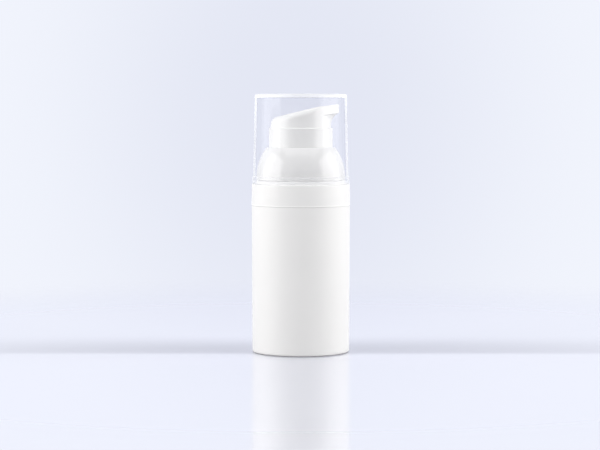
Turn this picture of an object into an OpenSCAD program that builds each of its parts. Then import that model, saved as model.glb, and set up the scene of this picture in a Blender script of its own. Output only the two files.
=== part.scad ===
// Airless pump bottle: a clear overcap over a sprung pump head, on a straight body with a rising follower.
// Millimetres, +Z up. The origin is the middle of the foot, and the spout points along +X.

/* [Bottle] */
// Outer diameter of the body at its shoulder
body_d = 34; // [31:0.1:42]
// Taper of the body from its shoulder to its foot, on the radius
foot_taper = 0.2; // [0:0.02:0.6]
// Height of the body's shoulder above the foot
shoulder_h = 50.8; // [40:0.2:75]
// Wall of the body at its shoulder
body_wall = 2; // [1.8:0.05:2.8]
// Wall of the neck inside the collar
neck_wall = 1; // [0.8:0.05:1.1]
// Rounding of the foot's outer edge
foot_round = 1; // [0.4:0.1:1.4]
// Section radius of the snap beads on the neck and on the base plug
bead_r = 0.3; // [0.2:0.05:0.4]
// Depth of the neck's bead below the rim
neck_bead_drop = 1.3; // [0.8:0.1:1.8]

/* [Base plug] */
// Height of the plug's plate above the ground
plug_lift = 0.6; // [0.4:0.1:2]
// Thickness of the plug's plate
plug_t = 1.6; // [1.2:0.1:3]
// Diameter of the vent hole in the plug
vent_d = 3; // [2:0.1:6]

/* [Follower] */
// Wall of the follower
follower_wall = 0.9; // [0.7:0.05:1.3]
// Height of each wiping lip
lip_h = 1.2; // [0.8:0.1:2]
// Depth of the relief between the two lips
lip_relief = 0.5; // [0.3:0.05:0.8]
// Room between the follower's well and the pump inside it
well_room = 0.6; // [0.4:0.1:1.5]

/* [Collar] */
// Height of the collar's band above the shoulder
collar_h = 7.5; // [6.5:0.1:10]
// Step from the body out to the collar
collar_step = 0.08; // [0:0.02:0.5]
// Taper of the collar's band, on the radius
collar_taper = 0.12; // [0:0.02:0.4]
// Thickness of the plate that clamps the pump
plate_t = 1.7; // [1.2:0.1:2.5]
// Width of the ledge that the overcap stands on
ledge_w = 1.54; // [1.4:0.02:2.4]
// Height of the neck ring above the ledge
ring_h = 1.3; // [0.9:0.1:2]
// Wall of the neck ring
ring_wall = 2.2; // [1.9:0.1:3]
// Height of the tongue that locates the dome
tongue_h = 1.2; // [0.8:0.1:2]
// Thickness of the gasket on the rim
gasket_t = 0.8; // [0.5:0.1:1.2]
// Open line under the collar, and between the neck ring and the dome
seam_gap = 0.12; // [0.05:0.01:0.3]
// Radial room between the clamping plate and the spring
plate_room = 1; // [0.5:0.1:2]

/* [Dome] */
// Height of the dome above the neck ring
dome_h = 11.3; // [10.6:0.1:12.5]
// Straight foot of the dome's side
dome_foot_h = 0.9; // [0.6:0.1:1.5]
// Wall of the dome
dome_wall = 1.1; // [0.8:0.05:1.4]
// Width of the rim round the skirt
dome_lip_w = 0.75; // [0.5:0.05:1]
// Radial gap between the dome's hole and the skirt
skirt_gap = 0.17; // [0.1:0.01:0.4]

/* [Head] */
// Outer diameter of the skirt
skirt_d = 22.06; // [20.6:0.02:23]
// Height of the skirt's top edge above the dome
skirt_rise = 6.7; // [6:0.1:8]
// Length of skirt hidden in the dome
skirt_hidden = 2.9; // [1.5:0.1:3.2]
// Step from the skirt in to the head, on the radius
head_step = 0.6; // [0.3:0.05:1]
// Height of the head's top over the skirt, at the axis
head_h = 5.9; // [5.4:0.1:7]
// Slope of the finger rest, in degrees
top_slope = 13.7; // [10:0.1:16]
// Distance ahead of the axis where the slope starts to flatten
bend_x = 4; // [2:0.5:6]
// Radius of the flattening stretch above the spout
bend_r = 46; // [38:1:80]
// Rounding of the finger rest's edge
top_round = 2.1; // [1.2:0.1:2.4]
// Rounding of the spout's edge
tip_round = 0.3; // [0.2:0.05:0.5]
// Hollow of the finger rest
dish = 0.4; // [0:0.05:0.6]
// Reach of the spout from the axis
spout_reach = 13.26; // [12.6:0.02:14.2]
// Width of the spout's round end
spout_w = 6.4; // [5.6:0.1:8]
// Height of the spout's end
spout_h = 2.95; // [2.8:0.05:3.6]
// Radius of the hollow under the spout
under_r = 4.4; // [4:0.1:5.4]
// Diameter of the product's way through the spout
channel_d = 1.8; // [1.2:0.1:2]
// Wall round the product's way inside the head
channel_wall = 0.8; // [0.6:0.1:1.2]
// Wall of the boss that holds the stem
boss_wall = 1.3; // [1:0.1:1.6]
// Depth of the boss's lower end below the skirt's top edge
boss_drop = 6; // [5.2:0.1:6.4]
// Depth of the socket's end below the finger rest, at the axis
socket_roof = 3.9; // [3.6:0.1:4.4]
// Wall of the head and the skirt
head_wall = 1.1; // [0.8:0.05:1.4]
// Number of ribs inside the head
rib_count = 6; // [4:1:8]
// Thickness of a rib
rib_t = 0.9; // [0.7:0.1:1.4]
// Depth of the ribs' lower edge below the skirt's top edge
rib_drop = 1.2; // [0.6:0.1:2]
// Stroke of the head
stroke = 5.2; // [4:0.1:5.4]

/* [Pump] */
// Bore of the pump chamber
chamber_d = 9; // [8.4:0.1:9.6]
// Wall of the pump chamber
chamber_wall = 1; // [0.8:0.05:1.2]
// Thickness of the pump's flange
flange_t = 1.2; // [0.8:0.1:1.6]
// Outer diameter of the stem
stem_d = 5; // [4.8:0.1:5.4]
// Bore of the stem
stem_bore_d = 2.4; // [1.8:0.1:2.6]
// Step from the stem in to its foot, on the radius
stem_step = 0.6; // [0.4:0.05:0.65]
// Height of the sliding wiper
wiper_h = 4.6; // [4:0.1:5]
// Play of the wiper on the stem, which opens the outlet
wiper_play = 0.6; // [0.4:0.05:0.9]
// Height of each of the wiper's two lips
wiper_lip_h = 1; // [0.6:0.1:1.4]
// Depth of the relief between the wiper's lips
wiper_relief = 0.4; // [0.2:0.05:0.6]
// Height of the wiper's bearing on the stem's foot
wiper_bearing_h = 1.5; // [1:0.1:1.6]
// Radial room round the stem's foot below that bearing
wiper_pocket = 0.5; // [0.3:0.05:0.6]
// Diameter of the cross ports in the stem
port_d = 1; // [0.6:0.1:1]
// Height of the seat's plug in the stem
seat_plug_h = 1.6; // [1:0.1:1.7]
// Width of the seat's face under the wiper
seat_lap = 0.9; // [0.6:0.05:1]
// Thickness of the seat's disc
seat_t = 1; // [0.8:0.1:1.4]
// Depth of the housing cap in the chamber
guide_h = 2.1; // [1.6:0.1:3]
// Thickness of the housing cap's rim
guide_rim_t = 1; // [0.8:0.1:1.4]
// Overhang of the housing cap's rim past the chamber's wall
guide_rim_w = 0.5; // [0:0.1:0.6]
// Diameter of the inlet ball
ball_d = 2.6; // [2.2:0.1:3]
// Lift of the inlet ball
ball_lift = 0.7; // [0.5:0.05:1]
// Radial room of the ball in its pocket
ball_room = 0.12; // [0.08:0.01:0.3]
// Thickness of the lip that keeps the ball in
ball_lip_t = 0.5; // [0.4:0.1:0.8]
// Reach of that lip over the ball
ball_lip_w = 0.2; // [0.1:0.05:0.4]
// Diameter of the inlet hole
inlet_d = 1.6; // [1.2:0.1:1.7]
// Length of the inlet hole below the ball's cone
inlet_len = 0.8; // [0.6:0.1:2]
// Diameter of the spring's wire
wire_d = 0.7; // [0.5:0.05:0.8]
// Turns of the spring
spring_turns = 7; // [5:1:8]
// Open gap of the spring's end turns
end_turn_gap = 0.45; // [0.42:0.02:0.8]
// Radial room between the spring and the chamber
spring_room = 0.85; // [0.6:0.05:1.2]

/* [Overcap] */
// Wall of the overcap's side
cap_wall = 0.95; // [0.8:0.05:1.2]
// Thickness of the overcap's top
cap_top_t = 1.05; // [0.8:0.05:1.6]
// Room between the head and the overcap's top
cap_headroom = 2.5; // [1:0.1:6]
// Draft of the overcap's side, in degrees
cap_draft = 1.25; // [0.8:0.05:1.5]
// Rounding of the overcap's top edge
cap_round = 0.7; // [0.3:0.05:0.85]
// Height of the overcap's lip
cap_lip_h = 2.6; // [1.9:0.1:4]
// Step from the side out to the lip, on the radius
cap_lip_step = 0.26; // [0.1:0.02:0.4]
// Radial gap between the overcap's side and the dome
cap_gap = 0.16; // [0.12:0.01:0.3]

/* [Fits] */
// Radial clearance of a part that slides
slide_fit = 0.04; // [0.02:0.005:0.06]
// Radial clearance of a part that is fixed
fixed_fit = 0.03; // [0.01:0.005:0.05]
// Gap at the end of a travel
stop_gap = 0.3; // [0.2:0.05:0.5]
// Rounding of small outer edges
edge_round = 0.25; // [0.1:0.05:0.3]

/* [Hidden] */
$fn = 96;
// Overshoot of a cutting shape past the face that it cuts
cut = 0.5;
// Height of the ports' middle over the seat's plug, in port diameters
port_rise = 0.7;

// Bottle, base plug and follower
body_r = body_d / 2;
foot_r = body_r - foot_taper;
bore_r = body_r - body_wall;
neck_r = bore_r + neck_wall;
plug_top = plug_lift + plug_t;
follower_r = bore_r - slide_fit;

// Heights of the clamped pump, from the collar's ledge downwards
ledge_z = shoulder_h + collar_h;
flange_top = ledge_z - plate_t;
flange_z = flange_top - flange_t;
rim_z = flange_z - gasket_t;
neck_bead_z = rim_z - neck_bead_drop;

// Collar and dome
collar_foot_r = body_r + collar_step;
collar_top_r = collar_foot_r - collar_taper;
ring_r = collar_top_r - ledge_w;
ring_z = ledge_z + ring_h;
dome_z = ring_z + seam_gap;
dome_side_z = dome_z + dome_foot_h;
dome_top = ring_z + dome_h;
tongue_r = ring_r - dome_wall - fixed_fit;
hole_r = skirt_d / 2 + skirt_gap;
dome_lip_r = hole_r + dome_lip_w;
// The dome's arc starts upright at its side and ends on the rim round the skirt
dome_rise = dome_top - dome_side_z;
dome_run = ring_r - dome_lip_r;
dome_arc_r = (dome_rise * dome_rise + dome_run * dome_run) / (2 * dome_run);
dome_arc_x = ring_r - dome_arc_r;

// Head
skirt_r = skirt_d / 2;
head_r = skirt_r - head_step;
skirt_top = dome_top + skirt_rise;
skirt_foot = dome_top - skirt_hidden;
axis_top = skirt_top + head_h;
tip_r = spout_w / 2;
bend_z = axis_top + bend_x * tan(top_slope);
bend_cx = bend_x + bend_r * sin(top_slope);
bend_cz = bend_z - bend_r * cos(top_slope);
tip_top = top_z(spout_reach);
tip_z = tip_top - spout_h;
under_x = head_r + under_r;
under_z = tip_z - sqrt(under_r * under_r - pow(under_x - spout_reach, 2));
channel_z = tip_z + spout_h / 2;

// Pump, from the head downwards
stem_r = stem_d / 2;
stem_foot_r = stem_r - stem_step;
stem_bore_r = stem_bore_d / 2;
socket_r = stem_r + slide_fit;
boss_r = socket_r + boss_wall;
boss_z = skirt_top - boss_drop;
socket_top = axis_top - socket_roof;
stem_top = socket_top - stop_gap;
guide_top = boss_z - stroke - stop_gap;
housing_top = guide_top - guide_rim_t;
guide_foot = housing_top - guide_h;
shoulder_z = guide_foot - stop_gap;
wiper_top = shoulder_z - wiper_play;
wiper_z = wiper_top - wiper_h;
port_z = wiper_z + seat_plug_h + port_d * port_rise;
seat_z = wiper_z - seat_t;
seat_r = stem_foot_r + wiper_pocket + seat_lap;
chamber_r = chamber_d / 2;
housing_r = chamber_r + chamber_wall;
chamber_z = seat_z - stroke - 2 * stop_gap;
housing_z = chamber_z - chamber_wall;

// Inlet valve: the ball sits just off a cone of 45 degrees under a retaining lip
ball_r = ball_d / 2;
pocket_r = ball_r + ball_room;
inlet_r = inlet_d / 2;
ball_lip_z = chamber_z - ball_lip_t;
ball_top = ball_lip_z - ball_lift - slide_fit;
ball_z = ball_top - ball_r;
cone_tip = ball_z - (ball_r + slide_fit) * sqrt(2);
inlet_z = cone_tip + inlet_r - inlet_len;
nozzle_r = pocket_r + chamber_wall;

// Follower, round the lower end of the pump
well_r = housing_r + well_room;
well_depth = flange_z - inlet_z + stop_gap;
follower_h = well_depth + 2 * follower_wall;
follower_top = plug_top + follower_h;

// Return spring, round the chamber and under the ribs
spring_r = housing_r + spring_room + wire_d / 2;
rib_z = skirt_top - rib_drop;
plate_hole_r = spring_r + wire_d / 2 + plate_room;
wire_sides = 8;
turn_steps = 24;

// Overcap
cap_z = ledge_z;
cap_in_r = ring_r + cap_gap;
cap_side_r = cap_in_r + cap_wall;
cap_side_z = cap_z + cap_lip_h;
cap_roof = tip_top + cap_headroom;
cap_top = cap_roof + cap_top_t;
cap_top_r = cap_side_r - (cap_top - cap_side_z) * tan(cap_draft);
cap_roof_r = cap_in_r - (cap_roof - cap_side_z) * tan(cap_draft);
cap_grip_r = ring_r + slide_fit;
cap_lip_r = cap_side_r + cap_lip_step;

// Height of the finger rest at x: a straight slope, then an arc that flattens over the spout
function top_z(x) = x < bend_x
    ? axis_top + x * tan(top_slope)
    : bend_cz + sqrt(bend_r * bend_r - pow(x - bend_cx, 2));

// Reach of the head at height z: the cylinder's radius, then the hollow under the spout
function reach(z) = z <= under_z ? head_r
    : z >= tip_z ? spout_reach
    : under_x - sqrt(under_r * under_r - pow(z - under_z, 2));

// A point of the head's plan, the outline round a large and a small circle, for the normal's angle a
function plan_point(a, far, inset) =
    let (centre = far - tip_r, side = acos(min(1, (head_r - tip_r) / max(centre, 0.001))))
    abs(a) <= side
        ? [centre + (tip_r - inset) * cos(a), (tip_r - inset) * sin(a)]
        : [(head_r - inset) * cos(a), (head_r - inset) * sin(a)];

// Counts of the skin's rings and corners, and how far in the finger rest's rings lie, as shares
hollow_steps = 6;
edge_steps = 4;
rest_shares = [0.3, 0.6, 0.9];
tip_steps = 8;
back_steps = 24;
// Angles of the plan's normals, closer together round the spout's end
tip_side = acos((head_r - tip_r) / (spout_reach - tip_r));
plan_angles = [
    for (i = [0 : tip_steps]) -tip_side + 2 * tip_side * i / tip_steps,
    for (i = [1 : back_steps - 1]) tip_side + (360 - 2 * tip_side) * i / back_steps
];

// Rounding of the edge at x: full over the cylinder, and small at the spout's end
function round_at(x) =
    let (share = min(1, max(0, (x - bend_x / 2) / (spout_reach - tip_r - bend_x / 2))))
    top_round + (tip_round - top_round) * share * share * (3 - 2 * share);

// One ring of the head's wall that passes the spout's end at height z and tilts with the finger rest
wall_z = skirt_top - edge_round;
wall_top = tip_top - tip_round;
function signed(a) = a > 180 ? a - 360 : a;
function wall_ring(z) =
    let (u = (z - wall_z) / (wall_top - wall_z))
    [for (a = plan_angles)
        let (p = plan_point(signed(a), reach(z), 0))
        [p[0], p[1], wall_z + u * (top_z(p[0]) - round_at(p[0]) - wall_z)]];

// One ring of the rounded edge at the angle t, from the wall at 0 to the finger rest at 90
function edge_ring(t) =
    [for (a = plan_angles)
        let (
            p = plan_point(signed(a), spout_reach, 0),
            r = round_at(p[0]),
            q = plan_point(signed(a), spout_reach, r * (1 - cos(t)))
        )
        [q[0], q[1], top_z(q[0]) - r * (1 - sin(t))]];

// One ring of the finger rest, drawn in towards the axis by the share w, with a shallow hollow
function rest_ring(w) =
    [for (q = edge_ring(90)) [q[0] * (1 - w), q[1] * (1 - w), top_z(q[0] * (1 - w)) - dish * sin(90 * w)]];

// Closed surface over a stack of rings with equal counts
module skin(rings) {
    count = len(rings[0]);
    last = len(rings) - 1;
    points = [for (ring = rings) each ring];
    sides = [
        for (j = [0 : last - 1]) for (i = [0 : count - 1])
            let (k = (i + 1) % count, low = j * count, high = (j + 1) * count)
            each [[low + i, high + i, high + k], [low + i, high + k, low + k]]
    ];
    // Each end is a fan about its first corner
    ends = [
        for (i = [1 : count - 2])
            each [[0, i, i + 1], [last * count, last * count + i + 1, last * count + i]]
    ];
    polyhedron(points, concat(sides, ends));
}

// Upright tube between two radii and two heights
module tube(r_in, r_out, z_low, z_high) {
    translate([0, 0, z_low]) difference() {
        cylinder(r = r_out, h = z_high - z_low);
        translate([0, 0, -cut]) cylinder(r = r_in, h = z_high - z_low + 2 * cut);
    }
}

// Waste outside the rounding of a corner at the origin that points to +X and +Y
module corner_waste(r) {
    difference() {
        translate([-r, -r]) square(2 * r);
        translate([-r, -r]) circle(r);
    }
}

module bottle_body() {
    outline = [
        [bore_r, 0], [foot_r, 0], [body_r, shoulder_h], [neck_r, shoulder_h], [neck_r, rim_z], [bore_r, rim_z]
    ];
    color("white") rotate_extrude() {
        difference() {
            polygon(outline);
            translate([foot_r, 0]) mirror([0, 1]) corner_waste(foot_round);
            translate([body_r, shoulder_h]) corner_waste(edge_round);
            translate([bore_r, plug_lift + plug_t / 2]) circle(bead_r + fixed_fit);
        }
        intersection() {
            translate([neck_r, neck_bead_z]) circle(bead_r);
            translate([bore_r + neck_wall / 2, shoulder_h]) square([neck_wall, rim_z - shoulder_h]);
        }
    }
}

module base_plug() {
    plug_r = bore_r - fixed_fit;
    color("whitesmoke") difference() {
        union() {
            translate([0, 0, plug_lift]) cylinder(r = plug_r, h = plug_t);
            translate([0, 0, plug_lift + plug_t / 2]) rotate_extrude() translate([plug_r, 0]) circle(bead_r);
        }
        translate([0, 0, plug_lift - cut]) cylinder(d = vent_d, h = plug_t + 2 * cut);
    }
}

module follower_piston() {
    barrel_r = follower_r - lip_relief;
    well_z = plug_top + follower_wall;
    color("ivory") {
        // Barrel with its two lips
        tube(barrel_r - follower_wall, barrel_r, plug_top, follower_top);
        tube(barrel_r - follower_wall, follower_r, plug_top, plug_top + lip_h);
        tube(barrel_r - follower_wall, follower_r, follower_top - lip_h, follower_top);
        // Crown, and the well that the pump enters at the end of the travel
        tube(well_r, barrel_r, follower_top - follower_wall, follower_top);
        tube(well_r, well_r + follower_wall, well_z, follower_top);
        translate([0, 0, well_z]) cylinder(r = well_r + follower_wall, h = follower_wall);
    }
}

module neck_gasket() {
    color("gainsboro") tube(bore_r, neck_r, rim_z, flange_z);
}

module collar() {
    color("white") rotate_extrude() difference() {
        polygon([
            [neck_r + fixed_fit, shoulder_h + seam_gap], [collar_foot_r, shoulder_h + seam_gap],
            [collar_top_r, ledge_z], [ring_r, ledge_z], [ring_r, ring_z],
            [tongue_r, ring_z], [tongue_r, ring_z + tongue_h],
            [ring_r - ring_wall, ring_z + tongue_h], [ring_r - ring_wall, ledge_z],
            [plate_hole_r, ledge_z], [plate_hole_r, flange_top], [neck_r + fixed_fit, flange_top]
        ]);
        translate([collar_foot_r, shoulder_h + seam_gap]) mirror([0, 1]) corner_waste(edge_round);
        translate([collar_top_r, ledge_z]) corner_waste(edge_round);
        translate([ring_r, ring_z]) corner_waste(edge_round);
        translate([neck_r, neck_bead_z]) circle(bead_r + fixed_fit);
    }
}

module dome_shroud() {
    color("white") rotate_extrude() {
        // Arched shell, from its upright side to the hole
        intersection() {
            difference() {
                translate([dome_arc_x, dome_side_z]) circle(dome_arc_r);
                translate([dome_arc_x, dome_side_z]) circle(dome_arc_r - dome_wall);
            }
            translate([hole_r, dome_side_z]) square([ring_r, dome_top - dome_side_z]);
        }
        // Straight foot with a rounded lower edge
        difference() {
            translate([ring_r - dome_wall, dome_z]) square([dome_wall, dome_foot_h]);
            translate([ring_r, dome_z]) mirror([0, 1]) corner_waste(edge_round);
        }
    }
}

module pump_housing() {
    color("whitesmoke") rotate_extrude() difference() {
        union() {
            translate([0, housing_z]) square([housing_r, housing_top - housing_z]);
            translate([0, inlet_z]) square([nozzle_r, housing_z - inlet_z + cut]);
            translate([0, flange_z]) square([neck_r, flange_t]);
        }
        translate([0, chamber_z]) square([chamber_r, housing_top - chamber_z + cut]);
        // Ball pocket with its cone, then the retaining lip and the inlet hole
        polygon([
            [0, cone_tip], [pocket_r, cone_tip + pocket_r], [pocket_r, ball_lip_z], [0, ball_lip_z]
        ]);
        square([inlet_r, ball_z]);
        translate([0, ball_z]) square([ball_r - ball_lip_w, chamber_z - ball_z + cut]);
    }
}

module housing_cap() {
    color("whitesmoke") {
        tube(stem_r + slide_fit, housing_r + guide_rim_w, housing_top, guide_top);
        tube(stem_r + slide_fit, chamber_r - fixed_fit, guide_foot, housing_top);
    }
}

module inlet_ball() {
    color("silver") translate([0, 0, ball_z]) sphere(r = ball_r);
}

// Height of the spring's centre line after some turns: its two end turns climb little, the others alike
function spring_z(turns) =
    let (
        rise = rib_z - flange_top - wire_d,
        end_pitch = wire_d + end_turn_gap,
        pitch = (rise - 2 * end_pitch) / (spring_turns - 2),
        climb = turns < 1 ? end_pitch * turns
            : turns > spring_turns - 1 ? rise - end_pitch * (spring_turns - turns)
            : end_pitch + pitch * (turns - 1)
    )
    flange_top + wire_d / 2 + climb;

// Return spring: one unbroken helix between the flange and the ribs
module return_spring() {
    steps = spring_turns * turn_steps;
    gaps = [for (s = [turn_steps : steps]) spring_z(s / turn_steps) - spring_z(s / turn_steps - 1) - wire_d];
    echo(least_gap_between_turns = min(gaps));
    wire_rings = [
        for (s = [0 : steps])
            let (a = 360 * s / turn_steps, z = spring_z(s / turn_steps))
            [for (i = [0 : wire_sides - 1])
                let (b = -360 * i / wire_sides, r = spring_r + wire_d / 2 * cos(b))
                [r * cos(a), r * sin(a), z + wire_d / 2 * sin(b)]]
    ];
    color("silver") skin(wire_rings);
}

module stem() {
    color("whitesmoke") difference() {
        union() {
            translate([0, 0, shoulder_z]) cylinder(r = stem_r, h = stem_top - shoulder_z);
            translate([0, 0, wiper_z]) cylinder(r = stem_foot_r, h = shoulder_z - wiper_z);
        }
        translate([0, 0, wiper_z - cut]) cylinder(r = stem_bore_r, h = stem_top - wiper_z + 2 * cut);
        // Ports from the wiper's pocket into the bore
        translate([0, 0, port_z]) rotate([90, 0, 0])
            cylinder(d = port_d, h = stem_d, center = true);
    }
}

module piston_seat() {
    color("whitesmoke") translate([0, 0, seat_z]) {
        cylinder(r = seat_r, h = seat_t);
        cylinder(r = stem_bore_r - fixed_fit, h = seat_t + seat_plug_h);
    }
}

module piston_wiper() {
    wiper_r = chamber_r - slide_fit;
    sleeve_r = stem_foot_r + slide_fit;
    color("ivory") rotate_extrude() difference() {
        translate([sleeve_r, wiper_z]) square([wiper_r - sleeve_r, wiper_h]);
        // Pocket from the seat up past the ports, and the relief between the lips
        translate([0, wiper_z - cut]) square([stem_foot_r + wiper_pocket, wiper_h - wiper_bearing_h + cut]);
        translate([wiper_r - wiper_relief, wiper_z + wiper_lip_h])
            square([wiper_relief + cut, wiper_h - 2 * wiper_lip_h]);
    }
}

module actuator() {
    // The wall follows the hollow under the spout, then its end
    hollow = asin((tip_z - under_z) / under_r);
    hollow_rings = [for (k = [0 : hollow_steps]) wall_ring(under_z + under_r * sin(hollow * k / hollow_steps))];
    edge_rings = [for (k = [1 : edge_steps]) edge_ring(90 * k / edge_steps)];
    rest_rings = [for (w = rest_shares) rest_ring(w)];
    rings = concat([wall_ring(wall_z)], hollow_rings, [wall_ring(wall_top)], edge_rings, rest_rings);
    cavity_r = head_r - head_wall;
    color("white") difference() {
        union() {
            // Head over its cavity
            difference() {
                union() {
                    skin(rings);
                    skirt();
                }
                head_cavity(cavity_r, skirt_foot - cut);
                translate([0, 0, skirt_foot - cut])
                    cylinder(r = skirt_r - head_wall, h = skirt_top - head_wall - skirt_foot + cut);
            }
            // Boss, channel wall and ribs, trimmed to the cavity
            intersection() {
                union() {
                    translate([0, 0, boss_z]) cylinder(r = boss_r, h = axis_top - boss_z);
                    channel(channel_d / 2 + channel_wall);
                    ribs(cavity_r + cut);
                }
                head_cavity(cavity_r + cut / 2, boss_z, cut / 2);
            }
        }
        translate([0, 0, boss_z - cut]) cylinder(r = socket_r, h = socket_top - boss_z + cut);
        translate([0, 0, socket_top - cut]) cylinder(r = stem_bore_r, h = channel_floor() - socket_top + cut);
        channel(channel_d / 2);
    }
}

// Height of the channel's centre line over the axis
function channel_floor() = channel_z - spout_reach * tan(top_slope);

// Round way from over the stem to the spout's end, parallel to the finger rest
module channel(r) {
    translate([0, 0, channel_floor()]) rotate([0, 90 - top_slope, 0])
        cylinder(r = r, h = (spout_reach + cut) / cos(top_slope));
}

// Room inside the head, from z_low up to the sloped roof, which stands lift above the cavity's own
module head_cavity(r, z_low, lift = 0) {
    side = 6 * head_r;
    intersection() {
        translate([0, 0, z_low]) cylinder(r = r, h = axis_top + head_r - z_low);
        translate([0, 0, axis_top - head_wall - dish + lift]) rotate([0, -top_slope, 0])
            translate([-side / 2, -side / 2, -side]) cube(side);
    }
}

module skirt() {
    rotate_extrude() difference() {
        translate([0, skirt_foot]) square([skirt_r, skirt_top - skirt_foot]);
        translate([skirt_r, skirt_top]) corner_waste(edge_round);
        translate([skirt_r, skirt_foot]) mirror([0, 1]) corner_waste(edge_round);
    }
}

// Ribs that carry the spring's upper end
module ribs(r) {
    for (i = [0 : rib_count - 1])
        rotate([0, 0, 360 * (i + 0.5) / rib_count])
            translate([0, -rib_t / 2, rib_z]) cube([r, rib_t, axis_top + head_r - rib_z]);
}

module overcap() {
    color("azure", 0.3) rotate_extrude() difference() {
        union() {
            difference() {
                polygon([[0, cap_z], [cap_side_r + (cap_side_z - cap_z) * tan(cap_draft), cap_z],
                    [cap_top_r, cap_top], [0, cap_top]]);
                translate([cap_top_r, cap_top]) corner_waste(cap_round);
            }
            difference() {
                translate([0, cap_z]) square([cap_lip_r, cap_lip_h]);
                translate([cap_lip_r, cap_side_z]) corner_waste(edge_round);
                translate([cap_lip_r, cap_z]) mirror([0, 1]) corner_waste(edge_round);
            }
        }
        // Inside: the grip on the neck ring, then the tapered side up to the roof
        square([cap_grip_r, cap_z + ring_h]);
        difference() {
            polygon([[0, cap_z + ring_h / 2], [cap_grip_r, cap_z + ring_h / 2], [cap_grip_r, cap_z + ring_h],
                [cap_in_r, cap_side_z], [cap_roof_r, cap_roof], [0, cap_roof]]);
            translate([cap_roof_r, cap_roof]) corner_waste(edge_round);
        }
    }
}

bottle_body();
base_plug();
follower_piston();
neck_gasket();
collar();
dome_shroud();
pump_housing();
housing_cap();
inlet_ball();
return_spring();
stem();
piston_seat();
piston_wiper();
actuator();
overcap();
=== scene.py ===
import math

import bmesh
import bpy
from mathutils import Matrix, Vector


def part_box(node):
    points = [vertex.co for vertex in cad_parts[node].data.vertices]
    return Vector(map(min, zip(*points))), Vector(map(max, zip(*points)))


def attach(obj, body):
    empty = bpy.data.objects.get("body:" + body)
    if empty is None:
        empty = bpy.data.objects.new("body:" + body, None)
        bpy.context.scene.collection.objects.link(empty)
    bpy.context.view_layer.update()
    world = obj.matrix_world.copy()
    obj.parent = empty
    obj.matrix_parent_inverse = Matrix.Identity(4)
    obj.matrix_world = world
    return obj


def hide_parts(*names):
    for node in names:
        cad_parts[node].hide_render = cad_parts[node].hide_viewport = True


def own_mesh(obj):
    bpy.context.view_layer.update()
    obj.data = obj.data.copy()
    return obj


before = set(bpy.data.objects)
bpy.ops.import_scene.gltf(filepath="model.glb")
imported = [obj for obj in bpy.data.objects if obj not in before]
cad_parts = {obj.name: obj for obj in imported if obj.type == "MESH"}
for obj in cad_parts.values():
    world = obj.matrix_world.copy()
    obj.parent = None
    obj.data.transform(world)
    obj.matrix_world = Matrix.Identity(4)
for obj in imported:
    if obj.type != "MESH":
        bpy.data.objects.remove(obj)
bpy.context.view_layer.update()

# Sizes are in millimetres until a mesh, a material or a tree takes them in metres
MM = 0.001
TURN = 2 * math.pi


def top_of(node):
    """Highest point of a frame node, in millimetres."""
    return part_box(node)[1].z / MM


def foot_of(node):
    """Lowest point of a frame node, in millimetres."""
    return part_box(node)[0].z / MM


def reach_of(node):
    """Reach of a round frame node from the axis, in millimetres."""
    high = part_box(node)[1]
    return min(high.x, high.y) / MM


# Body, base and neck
BODY_R = reach_of("bottle_body")
FOOT_TAPER = 0.2
BODY_WALL = 2.0
NECK_WALL = 1.0
SHOULDER_Z = 50.8
RIM_Z = top_of("bottle_body")
FOOT_ROUND = 0.75
FOOT_R = BODY_R - FOOT_TAPER
BORE_R = BODY_R - BODY_WALL
NECK_R = BORE_R + NECK_WALL
PLUG_LOW = foot_of("base_plug")
PLUG_TOP = top_of("base_plug")
PLUG_MID = (PLUG_LOW + PLUG_TOP) / 2
BEAD_R = 0.3
VENT_R = 1.5
EDGE = 0.25
FINE_EDGE = 0.08

# Collar band and neck ring
COLLAR_FOOT_R = reach_of("collar")
COLLAR_FOOT_Z = foot_of("collar")
COLLAR_TAPER = 0.12
SEAM_DEPTH = 0.02
COLLAR_TOP_R = COLLAR_FOOT_R - COLLAR_TAPER
LEDGE_Z = foot_of("overcap")
PLATE_T = 1.7
PLATE_HOLE_R = 8.05
RING_R = reach_of("dome_shroud")
RING_WALL = 2.2
TONGUE_TOP = top_of("collar")
TONGUE_H = 1.2
RING_Z = TONGUE_TOP - TONGUE_H

# Height over the collar's foot up to which its painted highlight, a paler line, is full, and at which it ends
FOOT_HIGHLIGHT_FULL = 0.25
FOOT_HIGHLIGHT_END = 0.6

# Clearances of pieces that are fixed and of pieces that slide
FIT = 0.03
SLIDE = 0.04

# Dome
DOME_Z = foot_of("dome_shroud")
DOME_TOP = top_of("dome_shroud")
DOME_FOOT_H = 0.9
DOME_FOOT_ROUND = 0.15
DOME_WALL = 1.1
DOME_LIP_W = 0.75
SKIRT_GAP = 0.17

# Head
SKIRT_R = -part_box("actuator")[0].x / MM
SKIRT_FOOT = foot_of("actuator")
SPOUT_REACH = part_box("actuator")[1].x / MM
SKIRT_RISE = 6.7
HEAD_STEP = 0.6
STEP_ROUND = 0.12
STEP_LAND = 0.4
HEAD_H = 5.9
SLOPE = math.radians(13.7)
BEND_X = 4.0
BEND_R = 46.0
TOP_ROUND = 2.1
TIP_ROUND = 0.3
DISH = 0.4
SPOUT_W = 6.4
SPOUT_H = 2.95
UNDER_R = 4.4
HEAD_WALL = 1.1
CHANNEL_R = 0.9
CHANNEL_WALL = 0.8
BOSS_WALL = 1.3
BOSS_DROP = 6.0
SOCKET_ROOF = 3.9
STEM_R = 2.5
STEM_BORE_R = 1.2
RIB_DROP = 1.2
RIB_T = 0.9
RIB_COUNT = 6
HEAD_R = SKIRT_R - HEAD_STEP
SKIRT_TOP = DOME_TOP + SKIRT_RISE
AXIS_TOP = SKIRT_TOP + HEAD_H
CAVITY_R = HEAD_R - HEAD_WALL
BOSS_R = STEM_R + SLIDE + BOSS_WALL
BOSS_Z = SKIRT_TOP - BOSS_DROP
RIB_Z = SKIRT_TOP - RIB_DROP

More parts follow.
